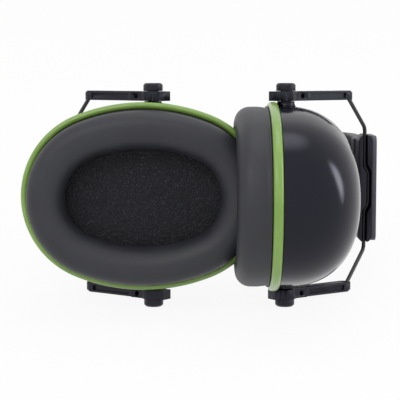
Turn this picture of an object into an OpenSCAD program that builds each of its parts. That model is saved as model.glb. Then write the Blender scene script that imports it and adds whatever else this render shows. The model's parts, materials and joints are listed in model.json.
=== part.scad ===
// Earmuff hearing protector, lying on its side with the left cup turned in its yoke.
//
// Object frame: X runs from cup to cup, Y from the cups up to the crown of the
// headband, Z along the pivot axes of the yokes.  The last module tips the whole
// thing about X until the two lower pivot caps and the lower edge of the crown
// reach one level, which is how it lies on a table.
// Cup frame: x is the long axis of the oval (towards the crown), y the short axis,
// z points outward from the head.  Its origin is the middle of the trim ring.
// All lengths are in millimetres.

/* [Cup] */
// Half the long axis of the cup's oval
half_long = 53.5; // [50:0.5:58]
// Half the short axis of the oval
half_short = 41; // [40.5:0.1:41.3]
// How much the oval's half width exceeds the radius of its end arcs
side_rise = 3; // [2:0.5:5]
// Trim ring, front to back
ring_w = 4.1; // [3:0.1:5]
// How far the trim ring reaches inward
ring_in = 3.0; // [2.4:0.1:3.6]
// Inset of the dome's foot from the ring's outline
shell_inset = 1.6; // [1:0.1:2.4]
// Height of the dome above the ring's back face
dome_h = 34.3; // [32:0.1:38]
// Exponent of the dome's section: 2 is an ellipse, more is fuller
dome_n = 2.5; // [2.2:0.1:2.8]
// Wall of the dome
shell_wall = 2.5; // [2:0.1:3]
// Thickness of the ear cushion
cushion_h = 14.5; // [12:0.5:15]
// Inset of the cushion's outline from the oval
cushion_out = 2.4; // [2:0.1:3]
// Inset of the ear opening from the oval
cushion_in = 19.0; // [18:0.1:19.6]
// Rounding of the cushion's outer front corner
cushion_ro = 6.0; // [5.6:0.1:6.4]
// Rounding of the cushion's inner front corner
cushion_ri = 8.0; // [7.6:0.1:8.4]
// Wall of the cushion's skin
cover_wall = 1.0; // [0.6:0.1:1.4]
// Thickness of the seal plate behind the cushion
plate_t = 2.4; // [2:0.1:3]
// Inset of the seal plate's hole from the oval
plate_in = 17.5; // [16:0.1:18]
// Inset of the liner foam from the oval
liner_inset = 5.0; // [4.8:0.1:7]
// Thickness of the liner foam
liner_t = 9.0; // [6:0.5:12]
// Room left round the turned left cup where it presses into the right cushion
nest_gap = 0.4; // [0.3:0.05:0.8]

/* [Pivots] */
// How deep the turned left cup presses into the right ear cushion
press = 14; // [12:0.1:14.4]
// Distance of the pivot above the middle of the oval
pivot_up = 4; // [2:0.5:6]
// Distance of the pivot outward of the middle of the ring
pivot_out = 5.95; // [5.5:0.05:7]
// Diameter of the pivot posts
post_d = 7.8; // [7:0.1:8.4]
// Diameter of the pins that the yoke turns on
pin_d = 4.9; // [4:0.1:5.2]
// Diameter of the bores in the yoke
bore_d = 5.4; // [5.2:0.1:6]
// Room between the cup's oval and the pivot blocks
block_gap = 0.45; // [0.4:0.05:1]
// Thickness of the pivot blocks and the arms
arm_t = 4.15; // [4:0.05:4.3]
// Diameter of the pivot caps
cap_d = 8.5; // [7.5:0.1:9.5]
// How far the pivot caps stand out from the pivot blocks
cap_h = 3.6; // [3.5:0.1:4.2]

/* [Yoke] */
// Outer end of each arm, from the middle plane
arm_end_x = 57; // [54:0.5:58]
// Outer end of each arm, above the pivots
arm_end_y = 20; // [18:0.5:22]
// Width of the arms
arm_w = 6.4; // [5.6:0.1:7.2]
// Diameter of the yoke wire
wire_d = 1.8; // [1.6:0.1:2]
// Yoke wire in the slider, above the pivots
wire_y = 36.0; // [35.5:0.1:36.5]
// Where the yoke wire enters the slider, from the middle of the band
wire_z = 28.2; // [27:0.1:29]
// Thickness of the slider, from its inner to its outer face
slider_t = 6.5; // [6:0.1:6.8]
// Thickness of the grip cover
grip_t = 1.9; // [1.6:0.1:2.4]
// Half height of the slider's straight part, without its round ends
slider_half = 21.8; // [21:0.1:22.5]
// Thickness of the slider's tongue
tongue_t = 2.4; // [2:0.1:2.6]
// Sideways step of the wire inside the slider
crank = 1.8; // [1.4:0.1:2]
// Middle of each sideways step, from the middle of the band
crank_z = 8.9; // [8:0.1:12]

/* [Headband] */
// Outer radius of the arch
arch_r = 70.5; // [70:0.1:71]
// Centre of the arch, above the pivots
arch_y = 80; // [76:1:86]
// Thickness of the headband at its rims
band_t = 5.1; // [4.9:0.1:5.2]
// Thickness of the web between the rims
web_t = 1.8; // [1.4:0.1:1.9]
// Width of the headband
band_w = 46; // [44:1:48]
// Width of each rim
rim_w = 4.8; // [4:0.1:5]
// Flex lines beside the crown, from the middle plane
hinge_x = 12; // [10:1:14]
// Lower end of each leg
leg_y = 48.3; // [48.3:0.1:49]
// Lower face of the slider
slider_y = 33; // [32.6:0.1:33.4]
// Upper face of the slider
slider_top = 48; // [47.6:0.1:48]
// Upper end of the slider's tongue
tongue_y = 84; // [80:1:85]
// Height adjustment of each slider
travel = 25; // [20:1:25]

/* [Hidden] */
$fn = 48;
end_r = half_short - side_rise;
c = half_long - end_r;
m = side_rise;
// Rounded, so that the arcs' shared faces are written with the same numbers.
function tidy(v) = round(v * 1000) / 1000;
d = tidy((c * c - m * m) / (2 * m));
side_r = half_short + d;
phi = round(atan2(d, c) * 100) / 100;
pivot_half = tidy((half_long - pivot_up + pivot_out + ring_w / 2 + cushion_h - press) / 2);
block_lo = half_short + block_gap;
block_hi = block_lo + arm_t;
cap_top = block_hi + cap_h;
pin_top = block_hi + 1.7;
band_in = arch_r - band_t;
half_w = band_w / 2;
tongue_w = band_w - 2 * rim_w - 1.2;
rivet_y = leg_y + 5.7;
rivet_d = 4;
arm_end = [arm_end_x, arm_end_y];

// A section given as points [inset from the oval, height] swept round the oval, a
// quarter at a time.  The quarter's end arc and side arc both start in the plane
// that they share, and run a little past the oval's two middle planes, where they
// are cut off and the quarters meet.
module sweep(ends, sides) for (k = [0, 1]) mirror([k, 0, 0]) for (j = [0, 1])
  mirror([0, j, 0]) intersection() {
    translate([c, 0, 0]) rotate([0, 0, phi]) union() {
      mirror([0, 1, 0]) rotate_extrude(angle = phi + 3)
        polygon([for (q = ends) [end_r - tidy(q[0]), q[1]]]);
      translate([-d - m, 0, 0]) rotate_extrude(angle = 93 - phi)
        polygon([for (q = sides) [side_r - tidy(q[0]), q[1]]]);
    }
    translate([0, 0, -half_long]) cube(2 * half_long);
  }

// The oval as a flat outline, inset by s.
function oval_points(s, n) = concat(
  [for (i = [0 : 2 * n - 1]) let (a = phi * (i / n - 1))
    [c + (end_r - s) * cos(a), (end_r - s) * sin(a)]],
  [for (i = [0 : n - 1]) let (a = phi + (180 - 2 * phi) * i / n)
    [(side_r - s) * cos(a), (side_r - s) * sin(a) - d]],
  [for (i = [0 : 2 * n - 1]) let (a = 180 + phi * (i / n - 1))
    [(end_r - s) * cos(a) - c, (end_r - s) * sin(a)]],
  [for (i = [0 : n - 1]) let (a = 180 + phi + (180 - 2 * phi) * i / n)
    [(side_r - s) * cos(a), (side_r - s) * sin(a) + d]]);
module oval(s) polygon(oval_points(s, 8));

// Quarter round from angle a0 to a1 about [x, z].
function quarter(x, z, r, a0, a1, n) =
  [for (i = [0 : n]) let (a = a0 + (a1 - a0) * i / n) [x + r * cos(a), z + r * sin(a)]];

// Dome section: points run from the rim to the top.
function dome(s0, h, z0, n) =
  [for (i = [0 : n]) let (a = 90 * i / n, w = pow(cos(a), 2 / dome_n),
    w2 = w < 0.15 ? 0.15 : w)
    [end_r - (end_r - s0) * w2, z0 + h * pow(sin(a), 2 / dome_n)]];

function reversed(p) = [for (i = [len(p) - 1 : -1 : 0]) p[i]];

ring_b = ring_w / 2;     // back face of the ring
ring_f = -ring_w / 2;    // front face of the ring
cush_f = ring_f - cushion_h;

module trim_ring() {
  p = [[0, -1.1], [0.9, ring_f], [ring_in, ring_f], [ring_in, ring_b],
       [0.9, ring_b], [0, 1.1]];
  sweep(p, p);
}

// Outline of the cushion's section, moved in by w except at its flat back.
function cushion_line(w, n) = concat(
  [[cushion_out + w, ring_f]],
  quarter(cushion_out + cushion_ro, cush_f + cushion_ro, cushion_ro - w, 180, 270, n),
  quarter(cushion_in - cushion_ri, cush_f + cushion_ri, cushion_ri - w, 270, 360, n),
  [[cushion_in - w, ring_f]]);

// The right cushion's lip is squashed back where the turned left cup presses
// into it: how far in from the oval the lip may stand at a depth t.
nest_axis = 2 * pivot_half + pivot_up - c - pivot_out + cush_f;
function nest_line(t, w) = half_short
  - sqrt(max(0, pow(end_r + nest_gap + w, 2) - pow(nest_axis + t, 2)));
function pressed_line(w, n) = concat(
  [[cushion_out + w, ring_f]],
  quarter(cushion_out + cushion_ro, cush_f + cushion_ro, cushion_ro - w, 180, 270, n),
  [for (i = [0 : n]) let (a = 90 * i / n, t = cushion_ri - (cushion_ri - w) * cos(a))
    [min(cushion_in - cushion_ri + (cushion_ri - w) * sin(a), nest_line(t, w)), cush_f + t]],
  [[cushion_in - w, ring_f]]);

foam_in = cover_wall + 0.2;
module skin(a, b) sweep(concat(a, reversed(b)), concat(a, reversed(b)));
module cushion_cover() skin(cushion_line(0, 6), cushion_line(cover_wall, 6));
module cushion_foam() sweep(cushion_line(foam_in, 5), cushion_line(foam_in, 5));
module pressed_cover() skin(pressed_line(0, 6), pressed_line(cover_wall, 6));
module pressed_foam() sweep(pressed_line(foam_in, 5), pressed_line(foam_in, 5));

module seal_plate() {
  z1 = ring_f + plate_t;
  x = ring_in + 0.05;
  p = [[x, ring_f], [plate_in, ring_f], [plate_in, z1], [x, z1]];
  sweep(p, p);
}

module liner_foam() {
  translate([0, 0, ring_f + plate_t]) linear_extrude(height = liner_t) oval(liner_inset);
}

module cup_shell() {
  z0 = ring_f + plate_t;
  lip = ring_in + 1.1;
  outer = concat([[ring_in + 0.05, z0], [ring_in + 0.05, ring_b]], dome(shell_inset, dome_h, ring_b, 12));
  inner = dome(lip, dome_h - shell_wall, ring_b, 12);
  foot = [[lip, z0]];
  top_o = ring_b + dome_h;
  top_i = top_o - shell_wall;
  e = concat(outer, [[end_r, top_o], [end_r, top_i]], reversed(inner), foot);
  s = concat(outer, [[end_r + 4, top_o], [end_r + 4, top_i]], reversed(inner), foot);
  sweep(e, s);
  // pivot posts and the pins that the yoke turns on
  for (k = [0, 1]) mirror([0, k, 0]) translate([pivot_up, 0, pivot_out])
    rotate([-90, 0, 0]) {
      translate([0, 0, half_short - 3.4]) cylinder(d = post_d, h = block_gap + 3.1);
      translate([0, 0, half_short - 3]) cylinder(d = pin_d, h = pin_top - half_short + 3);
    }
}

// Cap on the end of a pivot pin, with a screwdriver slot.
module pivot_cap() {
  translate([pivot_up, 0, pivot_out]) rotate([-90, 0, 0]) difference() {
    union() {
      translate([0, 0, block_hi + 0.2]) cylinder(d = cap_d, h = cap_top - 0.8 - block_hi - 0.2);
      translate([0, 0, cap_top - 0.8]) cylinder(d1 = cap_d, d2 = cap_d - 1.6, h = 0.8);
    }
    translate([0, 0, block_hi]) cylinder(d = pin_d, h = pin_top - block_hi);
    translate([-2.6, -0.45, cap_top - 0.7]) cube([5.2, 0.9, 1]);
  }
}

// Placing a cup piece: worn position on the right, turned to the front on the left.
module on_right() translate([pivot_half, 0, 0]) rotate([90, 0, 90])
  translate([-pivot_up, 0, -pivot_out]) children();
module on_left() translate([-pivot_half, 0, 0]) rotate([-90, 0, 0])
  translate([-pivot_up, 0, -pivot_out]) children();

arm_dx = arm_end[0] - pivot_half;
arm_len = sqrt(arm_dx * arm_dx + arm_end[1] * arm_end[1]);
arm_a = atan2(arm_end[1], arm_dx);
arm_mid = block_lo + arm_t / 2;

// One moulded arm: pivot block, stepped neck, and a beam with a channel in each side.
// Its outer end is chamfered, so that it stays above the table.
module arm() {
  translate([pivot_half, 0, 0]) rotate([0, 0, arm_a]) difference() {
    union() {
      translate([0, 0, block_lo]) cylinder(d = 10.6, h = arm_t);
      translate([-7.4, -2.6, block_lo]) cube([6, 5.2, arm_t]);
      translate([0, -4, block_lo]) cube([9.6, 8, arm_t]);
      translate([9, -arm_w / 2, block_lo]) cube([arm_len - 9, arm_w, arm_t]);
      translate([arm_len, 0, block_lo]) cylinder(d = arm_w, h = arm_t - 0.8);
      translate([arm_len, 0, block_hi - 0.8]) cylinder(d1 = arm_w, d2 = arm_w - 1.6, h = 0.8);
    }
    translate([0, 0, block_lo - 1]) cylinder(d = bore_d, h = arm_t + 2);
    // channels between the flanges of the beam
    for (s = [-1, 1]) translate([11.4, s * (arm_w / 2) - 0.9, block_lo + 0.9])
      cube([arm_len - 13.6, 1.8, arm_t - 1.8]);
    // core hole in the neck
    translate([6.4, 0, arm_mid]) rotate([90, 0, 0]) translate([0, 0, 1.2])
      cylinder(d = 2.3, h = 4, $fn = 24);
    // bore for the wire and the slot where it leaves downwards
    translate([arm_len - 11, 0, arm_mid]) rotate([0, 90, 0])
      cylinder(d = wire_d + 0.16, h = 14.5, $fn = 24);
    translate([arm_len - 1.2, -1.0, block_lo - 1]) cube([8, 2.0, arm_mid - block_lo + 1.98]);
  }
}

// Slider body, inner and outer face, and the wire's place between them.
sx1 = arch_r + 0.9;
sx0 = sx1 - slider_t;
wire_x = sx0 + 3.0;
grip_half = slider_half + 2.6;

// Centre line of the yoke wire from the upper arm to the lower one.
wire_top = [
  [arm_end[0] - 10 * cos(arm_a), arm_end[1] - 10 * sin(arm_a), arm_mid],
  [arm_end[0] - 0.6 * cos(arm_a), arm_end[1] - 0.6 * sin(arm_a), arm_mid],
  [arm_end[0] + 0.5 * cos(arm_a), arm_end[1] + 0.5 * sin(arm_a), arm_mid - 0.6],
  [arm_end[0] + 1.0 * cos(arm_a), arm_end[1] + 1.0 * sin(arm_a), arm_mid - 1.8],
  [wire_x - 0.55, wire_y - 1.05, wire_z + 2.0],
  [wire_x - 0.15, wire_y - 0.3, wire_z + 0.5],
  [wire_x, wire_y, wire_z - 1.4],
  [wire_x, wire_y, crank_z + 1.9],
  [wire_x + 0.3, wire_y, crank_z + 0.9],
  [wire_x + crank - 0.3, wire_y, crank_z - 0.9],
  [wire_x + crank, wire_y, crank_z - 1.9]];
wire_path = concat(wire_top, [for (p = reversed(wire_top)) [p[0], p[1], -p[2]]]);

function unit(v) = v / norm(v);
// A round tube along a path: one ring of points at each path point, in the plane
// that halves the bend there.
module tube(path, r, sides) {
  n = len(path);
  tan = [for (i = [0 : n - 1])
    unit((i == 0 ? [0, 0, 0] : unit(path[i] - path[i - 1]))
       + (i == n - 1 ? [0, 0, 0] : unit(path[i + 1] - path[i])))];
  side = [cos(arm_a + 90), sin(arm_a + 90), 0];
  pts = [for (i = [0 : n - 1])
    let (a = unit(side - tan[i] * (side * tan[i])), b = cross(tan[i], a))
      for (k = [0 : sides - 1]) let (w = 360 * k / sides)
        path[i] + r * (a * cos(w) + b * sin(w))];
  walls = [for (i = [0 : n - 2]) for (k = [0 : sides - 1]) let (k2 = (k + 1) % sides)
    for (f = [[i * sides + k, (i + 1) * sides + k, (i + 1) * sides + k2],
              [i * sides + k, (i + 1) * sides + k2, i * sides + k2]]) f];
  polyhedron(points = pts, faces = concat(walls,
    [[for (k = [0 : sides - 1]) k], [for (k = [sides - 1 : -1 : 0]) (n - 1) * sides + k]]));
}

module yoke_wire() tube(wire_path, wire_d / 2, 12);

// Slider body with the groove for the cranked wire, and the tongue that runs in
// the leg of the headband.
module slider_housing() {
  g = wire_d / 2 + 0.15;
  lo = crank_z - 1.5;
  difference() {
    union() {
      translate([0, slider_top, 0]) rotate([90, 0, 0])
        linear_extrude(height = slider_top - slider_y) union() {
          translate([sx0, -slider_half]) square([slider_t, 2 * slider_half]);
          for (k = [-1, 1]) translate([sx0 + slider_t / 2, k * slider_half]) circle(d = slider_t);
        }
      translate([band_in + 0.5, slider_top - 1, -tongue_w / 2])
        cube([tongue_t, tongue_y - slider_top + 1, tongue_w]);
    }
    // groove, open towards the cup
    translate([0, wire_y + g, 0]) rotate([90, 0, 0]) linear_extrude(height = 8)
      polygon([
        [wire_x - g, 30], [wire_x - g, lo + 3], [wire_x + crank - g, lo],
        [wire_x + crank - g, -lo], [wire_x - g, -lo - 3], [wire_x - g, -30],
        [wire_x + g, -30], [wire_x + g, -lo - 3.8], [wire_x + crank + g, -lo - 0.4],
        [wire_x + crank + g, lo + 0.4], [wire_x + g, lo + 3.8], [wire_x + g, 30]]);
    // slot that the stop rivet runs in
    for (y = [rivet_y, rivet_y + travel]) translate([band_in - 2, y, 0]) rotate([0, 90, 0])
      cylinder(d = rivet_d + 0.6, h = band_t + 2, $fn = 32);
    translate([band_in - 2, rivet_y, -rivet_d / 2 - 0.3]) cube([band_t + 2, travel, rivet_d + 0.6]);
  }
}

// Grip cover on the outside of the slider.
module slider_cover() {
  difference() {
    translate([sx1, 0, 0]) rotate([90, 0, 90]) linear_extrude(height = grip_t) union() {
      translate([slider_y + 0.6, -grip_half + 3.4]) square([22.4, 2 * grip_half - 6.8]);
      translate([slider_y + 4.0, -grip_half]) square([19, 2 * grip_half]);
      for (k = [-1, 1]) translate([slider_y + 4.0, k * (grip_half - 3.4)]) circle(r = 3.4);
      translate([slider_y + 23, 0]) intersection() {
        circle(r = grip_half);
        translate([0, -grip_half - 1]) square([7, 2 * grip_half + 2]);
      }
    }
    // finger grooves
    for (i = [0 : 4]) translate([sx1 + grip_t, slider_y + 7.5 + 3.4 * i, -15]) cylinder(r = 0.8, h = 30, $fn = 20);
  }
}

// Channel section of the headband: web on the outside, a rim along each edge.
module band_section() polygon([
  [band_in, -half_w], [arch_r - 0.7, -half_w], [arch_r, -half_w + 0.7],
  [arch_r, half_w - 0.7], [arch_r - 0.7, half_w], [band_in, half_w],
  [band_in, half_w - rim_w], [arch_r - web_t, half_w - rim_w],
  [arch_r - web_t, -half_w + rim_w], [band_in, -half_w + rim_w]]);

module headband_crown() translate([0, arch_y, 0]) intersection() {
  rotate([0, 0, 75]) rotate_extrude(angle = 30, $fn = 120) band_section();
  translate([-hinge_x + 0.15, 0, -50]) cube([2 * hinge_x - 0.3, 100, 100]);
}

module headband_half() {
  difference() {
    union() {
      translate([0, arch_y, 0]) rotate_extrude(angle = 82, $fn = 120) band_section();
      translate([0, arch_y, 0]) rotate([90, 0, 0]) linear_extrude(height = arch_y - leg_y)
        band_section();
    }
    translate([-50, 100, -50]) cube([50 + hinge_x + 0.15, 100, 100]);
    translate([arch_r - web_t - 1, rivet_y, 0]) rotate([0, 90, 0])
      cylinder(d = rivet_d, h = 5, $fn = 32);
  }
}

// Strap across the open side of the leg that keeps the tongue in its channel.
module guide_clip() difference() {
  translate([band_in - 1.2, leg_y + 1, -half_w + 0.6]) cube([1.2, 10, band_w - 1.2]);
  translate([band_in - 2, rivet_y, 0]) rotate([0, 90, 0]) cylinder(d = rivet_d, h = 3, $fn = 32);
}

module stop_rivet() {
  translate([band_in - 1.2, rivet_y, 0]) rotate([0, 90, 0])
    cylinder(d = rivet_d, h = band_t + 1.2, $fn = 32);
  translate([band_in - 2.2, rivet_y, 0]) rotate([0, 90, 0])
    cylinder(d1 = 5.6, d2 = 7, h = 1.0, $fn = 32);
}

pad_r0 = band_in - 8.9;
// Soft pad under the arch, from angle a0 to a1 (measured from the right leg).
module pad(a0, a1) translate([0, arch_y, 0]) rotate([0, 0, a0])
  rotate_extrude(angle = a1 - a0, $fn = 96) polygon([
    [band_in - 0.1, -19.5], [band_in - 0.1, 19.5], [pad_r0 + 3.2, 19.5],
    [pad_r0 + 0.9, 18.2], [pad_r0, 15.5], [pad_r0, -15.5], [pad_r0 + 0.9, -18.2],
    [pad_r0 + 3.2, -19.5]]);

module crown_pad() intersection() {
  pad(70, 110);
  translate([-hinge_x + 0.3, 0, -50]) cube([2 * hinge_x - 0.6, 200, 100]);
}
module side_pad() difference() {
  pad(34, 82);
  translate([-50, 0, -50]) cube([50 + hinge_x + 0.3, 200, 100]);
}

// Lying down: the crown end dips until its lower edge and the lower caps' edges
// are level, and the box over the whole part is centred on X = Y = 0.
cap_edge = cap_d / 2 - 0.8;
tilt = atan2(cap_top - half_w, arch_y + arch_r - 0.7 - cap_edge);
lift = cap_edge * sin(tilt) + cap_top * cos(tilt);
y_high = (arch_y + arch_r) * cos(tilt) + (half_w - 0.7) * sin(tilt);
y_low = -(pivot_up + c) * cos(tilt) - end_r;
x_high = sx1 + grip_t;
x_low = -(pivot_half + pivot_up + half_long);
module lie() translate([-(x_high + x_low) / 2, -(y_high + y_low) / 2, lift])
  rotate([-tilt, 0, 0]) children();
module left() mirror([1, 0, 0]) children();

// One module for each sub-part, in its colour and in its place.
module headband_crown_node() color("#2b2b30") lie() headband_crown();
module crown_pad_node() color("DimGray") lie() crown_pad();
module left_headband() color("#2b2b30") lie() left() headband_half();
module left_band_pad() color("DimGray") lie() left() side_pad();
module left_guide_clip() color("#3a3a40") lie() left() guide_clip();
module left_stop_rivet() color("Silver") lie() left() stop_rivet();
module left_slider_housing() color("#2b2b30") lie() left() slider_housing();
module left_slider_cover() color("#77777c") lie() left() slider_cover();
module left_yoke_wire() color("#1c1c1e") lie() left() yoke_wire();
module left_upper_arm() color("#343439") lie() left() arm();
module left_lower_arm() color("#343439") lie() left() mirror([0, 0, 1]) arm();
module left_cup_shell() color("#303036") lie() on_left() cup_shell();
module left_trim_ring() color("#84a754") lie() on_left() trim_ring();
module left_seal_plate() color("#222226") lie() on_left() seal_plate();
module left_cushion_cover() color("#434347") lie() on_left() cushion_cover();
module left_cushion_foam() color("#d8d0b8") lie() on_left() cushion_foam();
module left_liner_foam() color("#24252a") lie() on_left() liner_foam();
module left_upper_cap() color("#2b2b30") lie() on_left() pivot_cap();
module left_lower_cap() color("#2b2b30") lie() on_left() mirror([0, 1, 0]) pivot_cap();
module right_headband() color("#2b2b30") lie() headband_half();
module right_band_pad() color("DimGray") lie() side_pad();
module right_guide_clip() color("#3a3a40") lie() guide_clip();
module right_stop_rivet() color("Silver") lie() stop_rivet();
module right_slider_housing() color("#2b2b30") lie() slider_housing();
module right_slider_cover() color("#77777c") lie() slider_cover();
module right_yoke_wire() color("#1c1c1e") lie() yoke_wire();
module right_upper_arm() color("#343439") lie() arm();
module right_lower_arm() color("#343439") lie() mirror([0, 0, 1]) arm();
module right_cup_shell() color("#303036") lie() on_right() cup_shell();
module right_trim_ring() color("#84a754") lie() on_right() trim_ring();
module right_seal_plate() color("#222226") lie() on_right() seal_plate();
module right_cushion_cover() color("#434347") lie() on_right() pressed_cover();
module right_cushion_foam() color("#d8d0b8") lie() on_right() pressed_foam();
module right_liner_foam() color("#24252a") lie() on_right() liner_foam();
module right_upper_cap() color("#2b2b30") lie() on_right() pivot_cap();
module right_lower_cap() color("#2b2b30") lie() on_right() mirror([0, 1, 0]) pivot_cap();

headband_crown_node();  // headband_crown
crown_pad_node();  // crown_pad
left_headband();
left_band_pad();
left_guide_clip();
left_stop_rivet();
left_slider_housing();
left_slider_cover();
left_yoke_wire();
left_upper_arm();
left_lower_arm();
left_cup_shell();
left_trim_ring();
left_seal_plate();
left_cushion_cover();
left_cushion_foam();
left_liner_foam();
left_upper_cap();
left_lower_cap();
right_headband();
right_band_pad();
right_guide_clip();
right_stop_rivet();
right_slider_housing();
right_slider_cover();
right_yoke_wire();
right_upper_arm();
right_lower_arm();
right_cup_shell();
right_trim_ring();
right_seal_plate();
right_cushion_cover();
right_cushion_foam();
right_liner_foam();
right_upper_cap();
right_lower_cap();
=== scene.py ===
# %% [markdown]
# # An earmuff hearing protector, lying on its side
#
# The CAD model already fixes every size and joint.  This script dresses it: it
# loads that frame, models the soft and polished pieces again with finer shapes,
# and gives every piece a finish.  Nothing here moves a CAD part.
#
# The two cups are the same product part in two positions.  The right cup stands
# as it is worn; the left cup is turned a quarter turn in its yoke, so that its
# ear cushion looks at the viewer.

# %% Load the frame
import json
import math

import bmesh
import bpy
from mathutils import Matrix, Vector


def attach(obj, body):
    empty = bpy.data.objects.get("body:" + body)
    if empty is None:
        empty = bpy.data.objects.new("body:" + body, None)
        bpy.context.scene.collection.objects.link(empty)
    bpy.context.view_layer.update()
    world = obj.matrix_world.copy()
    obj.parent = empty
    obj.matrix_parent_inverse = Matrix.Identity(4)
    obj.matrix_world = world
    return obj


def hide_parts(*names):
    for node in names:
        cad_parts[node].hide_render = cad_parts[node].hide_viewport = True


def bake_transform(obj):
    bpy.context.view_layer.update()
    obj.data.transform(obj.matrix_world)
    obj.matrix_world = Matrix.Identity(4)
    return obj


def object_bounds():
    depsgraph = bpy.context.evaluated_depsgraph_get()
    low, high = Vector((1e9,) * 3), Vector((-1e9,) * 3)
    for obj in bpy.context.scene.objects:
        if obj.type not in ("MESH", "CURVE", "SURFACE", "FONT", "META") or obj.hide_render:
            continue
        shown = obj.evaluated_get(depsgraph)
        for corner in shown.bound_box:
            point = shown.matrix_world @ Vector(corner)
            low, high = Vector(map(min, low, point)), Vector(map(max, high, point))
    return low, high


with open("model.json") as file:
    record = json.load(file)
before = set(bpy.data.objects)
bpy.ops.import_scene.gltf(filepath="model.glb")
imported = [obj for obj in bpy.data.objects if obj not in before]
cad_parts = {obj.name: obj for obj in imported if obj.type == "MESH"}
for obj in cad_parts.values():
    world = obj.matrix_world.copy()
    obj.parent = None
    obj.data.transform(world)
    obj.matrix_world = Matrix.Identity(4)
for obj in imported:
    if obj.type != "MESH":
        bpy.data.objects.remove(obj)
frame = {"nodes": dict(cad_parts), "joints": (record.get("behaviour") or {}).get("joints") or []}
cad_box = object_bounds()
joints = {j["name"]: j for j in frame["joints"]}
print("CAD box:", [round(v, 4) for corner in cad_box for v in corner])

# %% [markdown]
# ## The object's own frame
#
# The headset lies on its side with the crown end a little lower, so its own axes
# lean against the table's.  It is far easier to model it upright in its own axes,
# in millimetres, and to tip each finished piece at the end.  X runs from cup to
# cup, Y from the cups up to the crown, Z along the pivot pins.  The lean and the
# position come from the swing joints, so they always agree with the CAD.

# %% From the object's own axes to the table
MM = 0.001
pin_axis = Vector(joints["left_cup_swing"]["axis"])
left_pivot = Vector(joints["left_cup_swing"]["pos_m"])
right_pivot = Vector(joints["right_cup_swing"]["pos_m"])
lean = math.atan2(pin_axis.y, pin_axis.z)
middle = (left_pivot + right_pivot) / 2
pivot_half = (right_pivot - left_pivot).length / 2 / MM
lie = Matrix.Translation(middle) @ Matrix.Rotation(-lean, 4, "X") @ Matrix.Scale(MM, 4)
print("lean", round(math.degrees(lean), 2), "pivots at +-", round(pivot_half, 2))

# %% [markdown]
# ## The cup's frame
#
# A cup is an oval: x along its long axis, y along its short axis, z outward from
# the head.  Its origin is the middle of the green trim ring.  One matrix carries
# a piece from there to the worn right cup, another to the turned left cup.

# %% Where the two cups are
PIVOT_UP, PIVOT_OUT = 4.0, 5.95
to_pivot = Matrix.Translation((-PIVOT_UP, 0, -PIVOT_OUT))
quarter = math.pi / 2
cup_place = {
    "right": lie @ Matrix.Translation((pivot_half, 0, 0))
    @ Matrix.Rotation(quarter, 4, "Z") @ Matrix.Rotation(quarter, 4, "X") @ to_pivot,
    "left": lie @ Matrix.Translation((-pivot_half, 0, 0))
    @ Matrix.Rotation(-quarter, 4, "X") @ to_pivot,
}
mirror_x = Matrix.Scale(-1, 4, (1, 0, 0))
side_place = {"right": lie, "left": lie @ mirror_x}
SIDES = ("left", "right")
print("cup frames:", sorted(cup_place))

# %% [markdown]
# ## Working like by hand, in code
#
# Operators act on whatever is selected, so each piece starts from a clean
# selection, and each finished piece is settled in one way: its modifiers are
# applied, its place is written into its mesh, it is hung on the body it rides
# on, and the CAD nodes it stands for are hidden.


# %% Selection and settling helpers
def only(obj):
    """Selects obj and nothing else."""
    if bpy.context.object and bpy.context.object.mode != "OBJECT":
        bpy.ops.object.mode_set(mode="OBJECT")
    bpy.ops.object.select_all(action="DESELECT")
    obj.select_set(True)
    bpy.context.view_layer.objects.active = obj
    return obj


def named(name):
    """Names the object that an operator has just made."""
    obj = bpy.context.object
    obj.name = name
    obj.data.name = name
    return only(obj)


def modify(obj, kind, **settings):
    """Adds a modifier, sets it, and applies it at once."""
    only(obj)
    m = obj.modifiers.new(kind.title(), kind)
    for key, value in settings.items():
        setattr(m, key, value)
    bpy.ops.object.modifier_apply(modifier=m.name)
    return obj


def twin(obj, name):
    """A copy of a piece, with a mesh of its own."""
    only(obj)
    bpy.ops.object.duplicate(linked=False)
    return named(name)


def pair(left):
    """The two sides of a piece that is made once: (side, piece) for left and right."""
    return ("left", left), ("right", twin(left, left.name.replace("left", "right")))


def smooth(obj, degrees=35):
    """Shades a piece smooth, except across edges sharper than that."""
    only(obj)
    bpy.ops.object.shade_smooth_by_angle(angle=math.radians(degrees))
    return obj


def outward(obj, weld=True):
    """Turns every face to the outside, after welding doubles (while still in mm)."""
    only(obj)
    bpy.ops.object.mode_set(mode="EDIT")
    bpy.ops.mesh.select_all(action="SELECT")
    if weld:
        bpy.ops.mesh.remove_doubles(threshold=0.001)
    bpy.ops.mesh.normals_make_consistent(inside=False)
    bpy.ops.object.mode_set(mode="OBJECT")
    return obj


def settle(obj, place, body, material, slot, *nodes):
    """Puts a finished piece in its place, in its material, on its body."""
    only(obj)
    obj.matrix_world = place @ obj.matrix_world
    bpy.ops.object.transform_apply(location=True, rotation=True, scale=True)
    if place.determinant() < 0:
        outward(obj, weld=False)
    obj.data.materials.clear()
    obj.data.materials.append(material)
    if nodes:
        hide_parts(*nodes)
    if body:
        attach(obj, body)
    return obj


# %% [markdown]
# ## Finishes
#
# Every finish is a small node tree.  Colours are written as sRGB hex, the way a
# paint chart gives them, and turned to linear light in one place.  Pattern sizes
# are written in millimetres.


# %% Material helpers
def rgb(hex_colour):
    """sRGB hex to linear RGBA."""
    out = []
    for k in (1, 3, 5):
        v = int(hex_colour[k:k + 2], 16) / 255
        out.append(v / 12.92 if v <= 0.04045 else ((v + 0.055) / 1.055) ** 2.4)
    return (*out, 1.0)


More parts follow.
